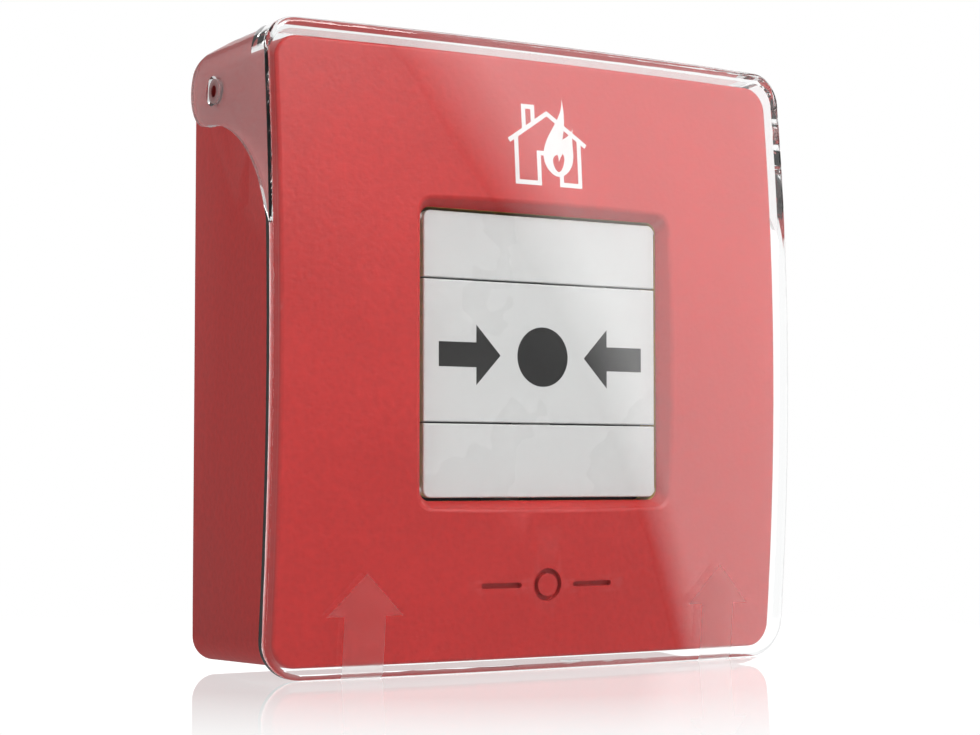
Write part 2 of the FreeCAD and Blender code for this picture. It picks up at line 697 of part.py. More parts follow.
def make_chip(place):
    x, z, w, h, t = place
    chip = block(x - w / 2, x + w / 2, board_back_y, board_back_y + t, z - h / 2, z + h / 2)
    return chip.makeFillet(0.2, [e for e in chip.Edges if e.BoundBox.YMin > board_back_y + t - tiny])


nodes["board_chips"] = group([make_chip(place) for place in chip_places])
shield = block(-14.0, 8.0, board_back_y, board_back_y + 2.6, 30.0, 46.0)
shield_top = [e for e in shield.Edges if e.BoundBox.YMin > board_back_y + tiny]
nodes["radio_module"] = shield.makeFillet(0.7, shield_top)
nodes["antenna"] = helix_spring(2.2, 0.35, (24.0, board_front_y - 3.4, 36.0), Z_DIR, 13.0, 8)
feed_foot = block(23.0, 25.0, board_front_y - 3.9, board_front_y, 33.8, 35.9)
nodes["antenna_foot"] = feed_foot


# ---------------------------------------------------------------- batteries
cell_centre_x = 28.0


def make_cell(side):
    x = side * cell_centre_x
    body = rod(cell_r, (x - cell_len / 2, cell_y, cell_z), X_DIR, cell_len)
    body = body.makeFillet(0.8, [e for e in body.Edges if e.Length > 40 and e.BoundBox.XLength < 0.1])
    nub = rod(2.9, (x + side * (cell_len / 2 - 0.2), cell_y, cell_z), X_DIR * side, 1.3)
    return body.fuse(nub).removeSplitter()


def make_cell_holder(side):
    """Trough that is open towards the wall, with an end wall at each end of the cell."""
    x = side * cell_centre_x
    half = cell_len / 2 + 2.1
    end_t = 1.4
    low_z, high_z = cell_z - cell_r - 1.6, cell_z + cell_r + 1.6
    body = block(x - half - end_t, x + half + end_t, cell_y - cell_r - 1.6, cell_y + 3.4, low_z, high_z)
    body = body.cut(rod(cell_r + 0.2, (x - half, cell_y, cell_z), X_DIR, 2 * half))
    body = body.cut(block(x - half, x + half, cell_y, 0, cell_z - cell_r - 0.2, cell_z + cell_r + 0.2))
    return body


def make_contact(side, end):
    x = side * cell_centre_x + end * (cell_len / 2 + 1.85)
    plate = block(x - 0.2, x + 0.2, cell_y - 6.0, cell_y + 5.5, cell_z - 5.0, cell_z + 5.0)
    return plate


for name, side in (("left", -1), ("right", 1)):
    nodes["battery_" + name] = make_cell(side)
    nodes["battery_holder_" + name] = make_cell_holder(side)
nodes["battery_contacts"] = group([make_contact(side, end) for side in (-1, 1) for end in (-1, 1)])


# ---------------------------------------------------------------- tamper switch and power button
tamper_at = (-22.0, 20.0)
power_at = (28.0, 8.0)
tamper_r = 1.6
power_r = 3.0


def make_push_switch(at, size, height, bore_r):
    x, z = at
    body = block(x - size / 2, x + size / 2, board_back_y, board_back_y + height, z - size / 2, z + size / 2)
    return body.cut(rod(bore_r, (x, board_back_y + 0.8, z), Y_DIR, height))


nodes["tamper_switch"] = make_push_switch(tamper_at, 6.0, 3.4, tamper_r + 0.07)
nodes["tamper_plunger"] = rod(tamper_r, (tamper_at[0], board_back_y + 2.2, tamper_at[1]), Y_DIR,
                              -board_back_y - 2.2 - 0.05)
nodes["power_switch"] = make_push_switch(power_at, 8.0, 2.4, power_r + 0.07)
button = rod(power_r, (power_at[0], board_back_y + 2.0, power_at[1]), Y_DIR, 3.2)
nodes["power_button"] = button.makeFillet(0.4, [e for e in button.Edges if e.BoundBox.YMin > -3.0])


# ---------------------------------------------------------------- mounting panel
slot_half = 3.6
slot_r = 2.25
wall_hole_x = 46.5
wall_hole_z = 20.0


def make_panel():
    front_y = -panel_t
    body = flared_prism(housing_wall + 0.35, y_front=front_y, y_back=0.0)
    for x in (-wall_hole_x, wall_hole_x):
        for z in (-wall_hole_z, wall_hole_z):
            run = slot_half - slot_r
            slot = block(x - run, x + run, -5, 1, z - slot_r, z + slot_r)
            for end in (-run, run):
                slot = slot.fuse(rod(slot_r, (x + end, -5, z), Y_DIR, 6))
            body = body.cut(slot)
    body = body.cut(rod(tamper_r + 0.9, (tamper_at[0], -5, tamper_at[1]), Y_DIR, 6))
    body = body.cut(rod(power_r + 0.6, (power_at[0], -5, power_at[1]), Y_DIR, 6))
    for side in (-1, 1):
        hook = block(side * 20 - 5, side * 20 + 5, -10.6, front_y + 0.2, 53.6, 55.8)
        hook = hook.fuse(block(side * 20 - 5, side * 20 + 5, -10.6, -7.9, 53.6, 58.3))
        body = body.fuse(hook)
        x = side * cover_screw_x
        boss = block(x - 4.0, x + 4.0, -6.5 - 3.6, front_y + 0.2, -58.4, -56.2)
        boss = boss.cut(rod(1.5, (x, -6.5, -60), Z_DIR, 8))
        body = body.fuse(boss)
    return body.removeSplitter()


nodes["mounting_panel"] = make_panel()
nodes["cover_screws"] = group([screw(2.8, 1.5, 1.5, 5.0, (side * cover_screw_x, -6.5, -60.2), Z_DIR)
                               for side in (-1, 1)])


# ---------------------------------------------------------------- write the parts
for name, shape in nodes.items():
    if not shape.isValid():
        shape = shape.copy()
        shape.fix(0.001, 0.001, 0.001)
    shape.exportStep("parts/" + name + ".step")
    box = shape.BoundBox
    print("%-22s solids %2d valid %s  vol %9.1f  x %7.2f %7.2f  y %7.2f %7.2f  z %7.2f %7.2f" % (
        name, len(shape.Solids), shape.isValid(), shape.Volume,
        box.XMin, box.XMax, box.YMin, box.YMax, box.ZMin, box.ZMax))
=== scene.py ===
import math

import bpy
from mathutils import Matrix, Vector


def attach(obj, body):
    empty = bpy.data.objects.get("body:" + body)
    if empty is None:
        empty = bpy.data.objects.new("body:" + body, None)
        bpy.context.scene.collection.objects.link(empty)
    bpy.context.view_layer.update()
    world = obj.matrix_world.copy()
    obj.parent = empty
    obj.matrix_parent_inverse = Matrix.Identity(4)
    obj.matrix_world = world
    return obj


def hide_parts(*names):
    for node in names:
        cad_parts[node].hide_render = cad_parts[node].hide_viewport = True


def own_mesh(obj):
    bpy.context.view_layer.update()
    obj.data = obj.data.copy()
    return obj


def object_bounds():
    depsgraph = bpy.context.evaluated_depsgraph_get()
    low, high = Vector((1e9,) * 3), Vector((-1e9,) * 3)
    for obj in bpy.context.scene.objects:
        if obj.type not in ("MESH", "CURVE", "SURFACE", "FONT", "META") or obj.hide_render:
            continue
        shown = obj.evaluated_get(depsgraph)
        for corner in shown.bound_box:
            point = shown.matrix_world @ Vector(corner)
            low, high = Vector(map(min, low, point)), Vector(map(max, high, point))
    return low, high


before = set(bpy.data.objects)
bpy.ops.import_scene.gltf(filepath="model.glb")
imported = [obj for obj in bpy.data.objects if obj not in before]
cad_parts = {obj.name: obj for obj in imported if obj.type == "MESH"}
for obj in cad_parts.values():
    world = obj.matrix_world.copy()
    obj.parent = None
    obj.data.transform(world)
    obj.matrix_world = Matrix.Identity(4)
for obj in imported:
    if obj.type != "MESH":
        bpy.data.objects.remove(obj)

cad_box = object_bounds()
mm = 0.001


# ------------------------------------------------------------------ red housing
# The front shell is moulded in red PC-ABS with a fine spark-eroded grain. It hooks over the
# mounting panel at the top and is screwed from below; the pocket lip has the same grain.

def shader_group(name, inputs, outputs):
    """New node group with float, colour or vector sockets; returns the group and its two ends."""
    group = bpy.data.node_groups.new(name, "ShaderNodeTree")
    for label, kind, default in inputs:
        socket = group.interface.new_socket(label, in_out="INPUT", socket_type="NodeSocket" + kind)
        socket.default_value = default
    for label, kind in outputs:
        group.interface.new_socket(label, in_out="OUTPUT", socket_type="NodeSocket" + kind)
    return group, group.nodes.new("NodeGroupInput"), group.nodes.new("NodeGroupOutput")


def feed(tree, socket, value):
    """Gives a socket a plain value or a link."""
    if isinstance(value, bpy.types.NodeSocket):
        tree.links.new(value, socket)
    else:
        socket.default_value = value


def noise(tree, place, scale, detail=2.0, rough=0.5):
    node = tree.nodes.new("ShaderNodeTexNoise")
    node.inputs["Detail"].default_value = detail
    node.inputs["Roughness"].default_value = rough
    tree.links.new(place, node.inputs["Vector"])
    feed(tree, node.inputs["Scale"], scale)
    return node.outputs["Fac"]


def remap(tree, value, low, high, out_low, out_high):
    """Map Range whose ends may be numbers or sockets."""
    node = tree.nodes.new("ShaderNodeMapRange")
    tree.links.new(value, node.inputs["Value"])
    ends = {"From Min": low, "From Max": high, "To Min": out_low, "To Max": out_high}
    for label, end in ends.items():
        feed(tree, node.inputs[label], end)
    return node.outputs["Result"]


def mix_colour(tree, factor, a, b, blend="MIX"):
    node = tree.nodes.new("ShaderNodeMix")
    node.data_type = "RGBA"
    node.blend_type = blend
    for label, value in (("Factor", factor), ("A", a), ("B", b)):
        feed(tree, [s for s in node.inputs if s.name == label and s.enabled][0], value)
    return [s for s in node.outputs if s.enabled][0]


def calc(tree, operation, a, b=0.0):
    node = tree.nodes.new("ShaderNodeMath")
    node.operation = operation
    feed(tree, node.inputs[0], a)
    feed(tree, node.inputs[1], b)
    return node.outputs[0]


def object_place(tree):
    return tree.nodes.new("ShaderNodeTexCoord").outputs["Object"]


def hairlines(tree, place, scale):
    """1 on thin curved lines in scattered patches, 0 elsewhere: rubbing marks."""
    field = noise(tree, place, scale, 0.5, 0.4)
    off_line = calc(tree, "ABSOLUTE", calc(tree, "SUBTRACT", field, 0.5))
    line = remap(tree, off_line, 0.0, 0.004, 1.0, 0.0)
    patch = remap(tree, noise(tree, place, 35.0), 0.55, 0.66, 0.0, 1.0)
    return calc(tree, "MULTIPLY", line, patch)


def edge_mask(tree, most):
    """Rises from 0 on flats to the given value on sharp outer edges."""
    edges = tree.nodes.new("ShaderNodeNewGeometry").outputs["Pointiness"]
    return remap(tree, edges, 0.52, 0.62, 0.0, most)


def make_moulded_surface():
    """Grain, gloss patches, rubbing marks, colour drift and pale edges of a moulded part."""
    group, enter, leave = shader_group(
        "moulded_surface",
        [("Colour", "Color", (0.5, 0.5, 0.5, 1)), ("Grain Scale", "Float", 1800.0),
         ("Grain", "Float", 0.5), ("Roughness", "Float", 0.4), ("Roughness Drift", "Float", 0.08),
         ("Colour Drift", "Float", 0.06), ("Rubbing", "Float", 0.1), ("Edge Wear", "Float", 0.1)],
        [("Colour", "Color"), ("Roughness", "Float"), ("Height", "Float")])
    place = object_place(group)
    given = enter.outputs
    grain = noise(group, place, given["Grain Scale"], 3.0, 0.62)
    cells = group.nodes.new("ShaderNodeTexVoronoi")
    cells.feature = "SMOOTH_F1"
    group.links.new(place, cells.inputs["Vector"])
    group.links.new(calc(group, "MULTIPLY", given["Grain Scale"], 0.55), cells.inputs["Scale"])
    both = calc(group, "ADD", grain, cells.outputs["Distance"])
    rubbed = calc(group, "MULTIPLY", hairlines(group, place, 70.0), given["Rubbing"])
    height = calc(group, "SUBTRACT", calc(group, "MULTIPLY", both, given["Grain"]), rubbed)
    drift = noise(group, place, 22.0, 4.0, 0.55)
    least = calc(group, "SUBTRACT", given["Roughness"], given["Roughness Drift"])
    most = calc(group, "ADD", given["Roughness"], given["Roughness Drift"])
    rough = calc(group, "SUBTRACT", remap(group, drift, 0.3, 0.7, least, most), rubbed)
    darkest = calc(group, "SUBTRACT", 1.0, given["Colour Drift"])
    shade = remap(group, drift, 0.3, 0.7, darkest, 1.0)
    speck = remap(group, both, 0.5, 1.3, darkest, 1.0)
    tone = calc(group, "MULTIPLY", shade, speck)
    tinted = mix_colour(group, 1.0, given["Colour"], tone, "MULTIPLY")
    edge = edge_mask(group, given["Edge Wear"])
    worn = mix_colour(group, edge, tinted, (0.9, 0.88, 0.86, 1.0))
    group.links.new(worn, leave.inputs["Colour"])
    group.links.new(rough, leave.inputs["Roughness"])
    group.links.new(height, leave.inputs["Height"])
    return group


moulded_surface = make_moulded_surface()
relief_depth = 0.05 * mm


def surfaced(name, surface_group, bump, group_values, shader_values):
    """Material whose shader takes colour, roughness and relief from a surface group."""
    material = bpy.data.materials.new(name)
    material.use_nodes = True
    tree = material.node_tree
    shader = tree.nodes["Principled BSDF"]
    surface = tree.nodes.new("ShaderNodeGroup")
    surface.node_tree = surface_group
    for label, value in group_values.items():
        surface.inputs[label].default_value = value
    relief = tree.nodes.new("ShaderNodeBump")
    relief.inputs["Strength"].default_value = bump
    relief.inputs["Distance"].default_value = relief_depth
    tree.links.new(surface.outputs["Height"], relief.inputs["Height"])
    tree.links.new(relief.outputs["Normal"], shader.inputs["Normal"])
    tree.links.new(surface.outputs["Colour"], shader.inputs["Base Color"])
    tree.links.new(surface.outputs["Roughness"], shader.inputs["Roughness"])
    for label, value in shader_values.items():
        shader.inputs[label].default_value = value
    return material


def moulded_plastic(name, colour, rough=0.4, bump=0.15, shader_values=None, **group_values):
    values = {label.replace("_", " "): value for label, value in group_values.items()}
    values["Colour"] = (*colour, 1)
    values["Roughness"] = rough
    return surfaced(name, moulded_surface, bump, values, shader_values or {})


def finish(material, *nodes):
    """Gives CAD nodes a material."""
    for name in nodes:
        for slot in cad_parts[name].material_slots:
            slot.material = material


housing_red = moulded_plastic("housing_red", (0.6, 0.022, 0.02), rough=0.46, bump=0.6, Grain=1.0,
                              Grain_Scale=1500.0, Colour_Drift=0.14, Rubbing=0.05, Edge_Wear=0.04)
finish(housing_red, "housing")


# ------------------------------------------------------------------ burning-house sign
# White ink, pad-printed into a shallow recess of the face in several coats. It stands a hair
# proud of the grain and is smoother than the red round it.

sign_white = moulded_plastic("sign_white", (0.86, 0.84, 0.83), rough=0.38, bump=0.1,
                             Grain_Scale=900.0, Grain=0.4, Colour_Drift=0.05, Rubbing=0.04)
finish(sign_white, "burning_house_sign")


# ------------------------------------------------------------------ clear lid
# The cover is one injection moulding in clear polycarbonate, polished on both sides, about
# 2.5 mm thick, that snaps over two pins at the top of the housing's sides.

def let_lamps_through(tree, shader):
    """Clear plastic throws no dark shadow: rays from lamps pass it."""
    path = tree.nodes.new("ShaderNodeLightPath")
    clear = tree.nodes.new("ShaderNodeBsdfTransparent")
    clear.inputs["Color"].default_value = (0.93, 0.93, 0.93, 1)
    mix = tree.nodes.new("ShaderNodeMixShader")
    tree.links.new(path.outputs["Is Shadow Ray"], mix.inputs["Fac"])
    tree.links.new(shader.outputs[0], mix.inputs[1])
    tree.links.new(clear.outputs[0], mix.inputs[2])
    tree.links.new(mix.outputs[0], tree.nodes["Material Output"].inputs["Surface"])


def polycarbonate(name, colour, bending, haze_scale, least_rough, most_rough):
    """Clear plastic whose polish varies from place to place."""
    material = bpy.data.materials.new(name)
    material.use_nodes = True
    tree = material.node_tree
    shader = tree.nodes["Principled BSDF"]
    shader.inputs["Base Color"].default_value = (*colour, 1)
    shader.inputs["Transmission Weight"].default_value = 1.0
    shader.inputs["IOR"].default_value = bending
    place = object_place(tree)
    haze = remap(tree, noise(tree, place, haze_scale, 6.0), 0.45, 0.8, least_rough, most_rough)
    marks = calc(tree, "MULTIPLY", hairlines(tree, place, 55.0), 0.12)
    tree.links.new(calc(tree, "ADD", haze, marks), shader.inputs["Roughness"])
    let_lamps_through(tree, shader)
    return material


finish(polycarbonate("lid_clear", (0.95, 0.957, 0.957), 1.5, 60.0, 0.0, 0.015), "protective_lid")


# ------------------------------------------------------------------ frosted lift arrows
# Two arrows etched into the mould leave a matt patch on the lid's outer skin. They run down over
# the rounded bottom edge, where a fingertip lifts the lid. The hair gap parts the two skins.

frost_gap = 0.006 * mm
finish(polycarbonate("frosted_film", (0.98, 0.97, 0.97), 1.2, 300.0, 0.3, 0.4), "lift_arrows")
hair_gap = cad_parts["lift_arrows"].modifiers.new("hair_gap", "DISPLACE")
hair_gap.mid_level = 0.0
hair_gap.strength = -frost_gap


# ------------------------------------------------------------------ hinge pins
# Turned nylon pins with a dimpled head, coloured a dark red much darker than the housing's red,
# pressed into the housing's sides; the lid's ears turn on their heads.

pin_red = moulded_plastic("pin_red", (0.2, 0.012, 0.012), rough=0.25, bump=0.06, Grain=0.3,
                          Rubbing=0.1, Edge_Wear=0.2)
finish(pin_red, "hinge_pin_left", "hinge_pin_right")


# ------------------------------------------------------------------ call plate and its flaps
# Three loose panels in white ABS with softly rounded edges. The flaps hang on trunnions in the
# marker frame and their inner edges follow the centre plate as it goes in.

plate_white = moulded_plastic("plate_white", (0.68, 0.683, 0.677), rough=0.3, bump=0.07, Grain=0.3,
                              Grain_Scale=1200.0, Colour_Drift=0.03, Rubbing=0.03, Edge_Wear=0.0)
finish(plate_white, "upper_flap", "lower_flap", "call_plate")


# ------------------------------------------------------------------ arrows and dot
# The black symbols are a second shot of glossy ABS that fills recesses in the centre plate, so
# they can't wear off.

symbol_black = moulded_plastic("symbol_black", (0.012, 0.012, 0.012), rough=0.22, bump=0.04,
                               Grain=0.2, Colour_Drift=0.1, Rubbing=0.04, Edge_Wear=0.03,
                               shader_values={"Specular IOR Level": 0.3})
finish(symbol_black, "arrows_and_dot")


# ------------------------------------------------------------------ carrier and guide pins
# Natural acetal carrier, clipped behind the centre plate, slides on two ground steel pins that
# are pressed into the chassis floor.

acetal = moulded_plastic("acetal", (0.72, 0.71, 0.66), rough=0.34, bump=0.08, Grain=0.3,
                         Grain_Scale=1000.0, Colour_Drift=0.05)
finish(acetal, "plate_carrier")


def make_worked_metal():
    """Drawing or grinding lines along one direction, gloss patches, stains and bright edges."""
    group, enter, leave = shader_group(
        "worked_metal",
        [("Colour", "Color", (0.6, 0.6, 0.6, 1)), ("Line Scale", "Vector", (1.0, 1.0, 1.0)),
         ("Lines", "Float", 0.5), ("Roughness", "Float", 0.3), ("Stain", "Float", 0.15),
         ("Edge Shine", "Float", 0.3)],
        [("Colour", "Color"), ("Roughness", "Float"), ("Height", "Float")])
    place = object_place(group)
    given = enter.outputs
    stretch = group.nodes.new("ShaderNodeVectorMath")
    stretch.operation = "MULTIPLY"
    group.links.new(place, stretch.inputs[0])
    group.links.new(given["Line Scale"], stretch.inputs[1])
    lines = noise(group, stretch.outputs[0], 900.0, 4.0, 0.6)
    height = calc(group, "MULTIPLY", lines, given["Lines"])
    stains = noise(group, place, 120.0, 5.0, 0.6)
    dullness = remap(group, stains, 0.5, 0.75, 0.0, given["Stain"])
    streaks = calc(group, "MULTIPLY", remap(group, lines, 0.3, 0.7, -0.06, 0.06), given["Lines"])
    rough = calc(group, "ADD", calc(group, "ADD", given["Roughness"], streaks), dullness)
    stained = mix_colour(group, dullness, given["Colour"], (0.28, 0.24, 0.2, 1.0))
    edge = edge_mask(group, given["Edge Shine"])
    shining = mix_colour(group, edge, stained, (0.9, 0.9, 0.88, 1.0))
    group.links.new(shining, leave.inputs["Colour"])
    group.links.new(rough, leave.inputs["Roughness"])
    group.links.new(height, leave.inputs["Height"])
    return group


worked_metal = make_worked_metal()


def metal(name, colour, rough, lines_along, bump=0.15, **group_values):
    """Metal with working marks along x, y or z, or in all directions if that is empty."""
    values = {label.replace("_", " "): value for label, value in group_values.items()}
    values["Colour"] = (*colour, 1)
    values["Roughness"] = rough
    values["Line Scale"] = [0.04 if axis == lines_along else 1.0 for axis in "xyz"]
    return surfaced(name, worked_metal, bump, values, {"Metallic": 1.0})


finish(metal("ground_steel", (0.62, 0.62, 0.63), 0.16, "y", bump=0.08, Lines=0.4), "guide_pins")


# ------------------------------------------------------------------ plate springs
# Two compression springs of 0.6 mm music wire sit round the carrier's sleeves and push the call
# plate forward. Their last turns are closed and bear on the chassis; the press shortens them.

wire_sides = 12
steps_per_turn = 36
wire_shrink = 0.97


def round_wire_springs(name, wire_r, mean_r, length, turns, closed_turns, starts, axis):
    """Coils of round wire as one mesh; closed_turns lie wire on wire at each end."""
    steps = int(turns * steps_per_turn)
    lay = 2.1 * wire_r
    rise = length - 2 * wire_r
    pitch = (rise - 2 * closed_turns * lay) / (turns - 2 * closed_turns)
    across = Vector((axis.y, axis.z, axis.x))
    third = axis.cross(across)
    corners = []
    faces = []
    for start in starts:
        first = len(corners)
        for step in range(steps + 1):
            turn = turns * step / steps
            in_closed = min(turn, closed_turns) + max(turn - turns + closed_turns, 0)
            height = lay * in_closed + pitch * (turn - in_closed)
            angle = 2 * math.pi * turn
            outward = across * math.cos(angle) + third * math.sin(angle)
            centre = Vector(start) + axis * (height + wire_r) + outward * mean_r
            for corner in range(wire_sides):
                around = 2 * math.pi * corner / wire_sides
                offset = outward * math.cos(around) + axis * math.sin(around)
                corners.append((centre + offset * wire_r * wire_shrink) * mm)
        for step in range(steps):
            ring = first + step * wire_sides
            for corner in range(wire_sides):
                near = ring + corner
                beside = ring + (corner + 1) % wire_sides
                faces.append((near, near + wire_sides, beside + wire_sides, beside))
        last = first + steps * wire_sides
        faces.append(tuple(range(first, first + wire_sides)))
        faces.append(tuple(range(last + wire_sides - 1, last - 1, -1)))
    mesh = bpy.data.meshes.new(name)
    mesh.from_pydata(corners, [], faces)
    for polygon in mesh.polygons:
        polygon.use_smooth = len(polygon.vertices) == 4
    spring = bpy.data.objects.new(name, mesh)
    bpy.context.scene.collection.objects.link(spring)
    return spring


spring_steel = metal("spring_steel", (0.42, 0.42, 0.44), 0.28, "", Lines=0.5, Stain=0.2)
spring_x = 20.0
spring_z = 0.7
spring_front_y = -33.35
spring_length = 10.0
plate_coils = round_wire_springs(
    "plate_coils", 0.32, 4.3, spring_length, 6, 0.8,
    [(side * spring_x, spring_front_y, spring_z) for side in (-1, 1)], Vector((0, 1, 0)))
plate_coils.data.materials.append(spring_steel)
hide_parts("plate_springs")
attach(plate_coils, "casing")
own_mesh(plate_coils)


# ------------------------------------------------------------------ marker frame
# Bright yellow ABS ring behind the window's throat. It carries the flaps' trunnions and shows
# beside the plates once the call point has been pressed.

marker_yellow = moulded_plastic("marker_yellow", (0.85, 0.5, 0.02), rough=0.36, bump=0.1,
                                Grain_Scale=1200.0, Colour_Drift=0.05)
finish(marker_yellow, "marker_frame")


# ------------------------------------------------------------------ mechanism chassis and screws
# Glass-filled black nylon tray that holds the whole mechanism; its surface shows pale flow
# patches. Four thread-forming steel screws fasten it to posts in the housing.

chassis_black = moulded_plastic("chassis_black", (0.022, 0.022, 0.024), rough=0.55, bump=0.3,
                                Grain=0.8, Grain_Scale=700.0, Roughness_Drift=0.14,
                                Colour_Drift=0.35, Edge_Wear=0.12)
finish(chassis_black, "mechanism_chassis")

zinc_steel = metal("zinc_steel", (0.6, 0.6, 0.58), 0.3, "y", Lines=0.5, Stain=0.25)
finish(zinc_steel, "chassis_screws")


# ------------------------------------------------------------------ detent springs
# Bent strips of rolled stainless spring steel, clipped to the chassis floor; their noses hold
# the carrier at rest and pressed.

rolled_spring = metal("rolled_spring", (0.55, 0.55, 0.53), 0.24, "z", bump=0.12, Lines=0.8)
finish(rolled_spring, "detent_springs")


# ------------------------------------------------------------------ key reset
# A white acetal cam turns in a black acetal bush in the bottom wall and pulls the carrier back.
# A coil of music wire returns it when the key is taken out.

cam_white = moulded_plastic("cam_white", (0.74, 0.73, 0.7), rough=0.3, bump=0.08, Grain=0.3,
                            Grain_Scale=1000.0, Rubbing=0.12)
finish(cam_white, "reset_cam")

bush_black = moulded_plastic("bush_black", (0.016, 0.016, 0.017), rough=0.36, bump=0.1,
                             Grain=0.4, Colour_Drift=0.2, Edge_Wear=0.08)
finish(bush_black, "key_bush")

reset_coil = round_wire_springs("reset_coil", 0.3, 5.0, 6.0, 7, 0.8, [(0.0, -20.6, -56.4)],
                                Vector((0, 0, 1)))
reset_coil.data.materials.append(spring_steel)
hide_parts("reset_spring")
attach(reset_coil, "casing")


# ------------------------------------------------------------------ microswitch
# A snap-action switch in black phenolic with a nickel-plated lever and a red button. It sits on
# the board, and the carrier's finger holds its lever down.

phenolic = moulded_plastic("phenolic", (0.02, 0.019, 0.018), rough=0.4, bump=0.12, Grain=0.5,
                           Colour_Drift=0.25, Edge_Wear=0.06)
finish(phenolic, "switch_body")
finish(metal("nickel_strip", (0.66, 0.63, 0.58), 0.22, "x", bump=0.1, Lines=0.7), "switch_lever")
finish(moulded_plastic("button_red", (0.5, 0.03, 0.02), rough=0.3, bump=0.05, Grain=0.2),
       "switch_plunger")


# ------------------------------------------------------------------ circuit board
# 1.6 mm glass-epoxy board under a green solder mask; its copper tracks stand out as slightly
# raised, lighter lines. Four small screws hold it to the chassis posts.

def solder_mask():
    material = moulded_plastic("solder_mask", (0.01, 0.12, 0.035), rough=0.26, bump=0.12,
                               Grain=0.15, Colour_Drift=0.12)
    tree = material.node_tree
    shader = tree.nodes["Principled BSDF"]
    split = tree.nodes.new("ShaderNodeSeparateXYZ")
    tree.links.new(object_place(tree), split.inputs[0])
    plane = tree.nodes.new("ShaderNodeCombineXYZ")
    tree.links.new(split.outputs["X"], plane.inputs["X"])
    tree.links.new(split.outputs["Z"], plane.inputs["Y"])
    tracks = tree.nodes.new("ShaderNodeTexBrick")
    tracks.offset = 0.37
    tracks.squash = 1.6
    tracks.squash_frequency = 3
    for label, value in (("Scale", 190.0), ("Mortar Size", 0.035), ("Mortar Smooth", 0.2),
                         ("Brick Width", 0.9), ("Row Height", 0.34)):
        tracks.inputs[label].default_value = value
    tree.links.new(plane.outputs[0], tracks.inputs["Vector"])
    mask_colour = shader.inputs["Base Color"].links[0].from_socket
    copper = mix_colour(tree, tracks.outputs["Fac"], mask_colour, (0.03, 0.3, 0.08, 1.0))
    tree.links.new(copper, shader.inputs["Base Color"])
    relief = shader.inputs["Normal"].links[0].from_node
    raised = calc(tree, "ADD", relief.inputs["Height"].links[0].from_socket, tracks.outputs["Fac"])
    tree.links.new(raised, relief.inputs["Height"])
    return material


finish(solder_mask(), "circuit_board")
finish(zinc_steel, "board_screws")


# ------------------------------------------------------------------ chips and radio module
# Moulded black packages and a tinned shield can, all soldered to the board's wall side.

package_black = moulded_plastic("package_black", (0.028, 0.028, 0.03), rough=0.58, bump=0.2,
                                Grain=0.7, Grain_Scale=2600.0, Colour_Drift=0.2)
finish(package_black, "board_chips")
finish(metal("tinned_can", (0.68, 0.68, 0.66), 0.34, "x", bump=0.1, Lines=0.6, Stain=0.3),
       "radio_module")


# ------------------------------------------------------------------ antenna
# A helical antenna of 0.7 mm brass wire stands on a small insulating foot at the board's top.

antenna_brass = metal("antenna_brass", (0.66, 0.44, 0.17), 0.24, "", Lines=0.5, Stain=0.2)
antenna_coil = round_wire_springs("antenna_coil", 0.35, 2.2, 13.0, 8, 0.0, [(24.0, -13.0, 36.0)],
                                  Vector((0, 0, 1)))
antenna_coil.data.materials.append(antenna_brass)
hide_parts("antenna")
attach(antenna_coil, "casing")
finish(phenolic, "antenna_foot")


# ------------------------------------------------------------------ batteries, holders, contacts
# Two short lithium cells in a shrink sleeve with a dark band at the positive end. Nickel-plated
# contact plates stand at each end of the black nylon troughs.

band_x = 39.4 * mm
can_x = 44.5 * mm
print_blur = 0.1 * mm


def cell_sleeve():
    material = moulded_plastic("cell_sleeve", (0.03, 0.06, 0.2), rough=0.24, bump=0.06, Grain=0.2,
                               Colour_Drift=0.08, Rubbing=0.08)
    tree = material.node_tree
    shader = tree.nodes["Principled BSDF"]
    split = tree.nodes.new("ShaderNodeSeparateXYZ")
    tree.links.new(object_place(tree), split.inputs[0])
    outward = calc(tree, "ABSOLUTE", split.outputs["X"])
    band = remap(tree, outward, band_x, band_x + 2 * print_blur, 0.0, 1.0)
    can = remap(tree, outward, can_x, can_x + print_blur, 0.0, 1.0)
    sleeve = shader.inputs["Base Color"].links[0].from_socket
    banded = mix_colour(tree, band, sleeve, (0.015, 0.015, 0.016, 1.0))
    with_can = mix_colour(tree, can, banded, (0.6, 0.6, 0.58, 1.0))
    tree.links.new(with_can, shader.inputs["Base Color"])
    return material


finish(cell_sleeve(), "battery_left", "battery_right")
finish(chassis_black, "battery_holder_left", "battery_holder_right")
finish(metal("nickel_plate", (0.66, 0.62, 0.55), 0.26, "z", bump=0.1, Lines=0.6, Stain=0.2),
       "battery_contacts")


# ------------------------------------------------------------------ tamper switch, power button
# Two small push switches on the wall side of the board. The tamper plunger meets the wall; the
# power button is reached through the mounting panel.

finish(phenolic, "tamper_switch", "power_switch")
finish(cam_white, "tamper_plunger")
button_grey = moulded_plastic("button_grey", (0.35, 0.36, 0.37), rough=0.38, bump=0.1, Grain=0.4,
                              Rubbing=0.1)
finish(button_grey, "power_button")


# ------------------------------------------------------------------ mounting panel
# Dark grey ABS plate that stays on the wall, held through four slotted holes. Its back is drawn
# plain with a coarse grain. Two steel screws from below hold the cover to it.

panel_grey = moulded_plastic("panel_grey", (0.1, 0.1, 0.106), rough=0.5, bump=0.35, Grain=1.0,
                             Grain_Scale=900.0, Colour_Drift=0.14, Rubbing=0.15, Edge_Wear=0.1)
finish(panel_grey, "mounting_panel")
finish(metal("cover_screw_steel", (0.6, 0.6, 0.58), 0.3, "z", Lines=0.5, Stain=0.25),
       "cover_screws")


# ------------------------------------------------------------------ camera
# A long-focus lens, a little below the middle of the face and well to the left of it.

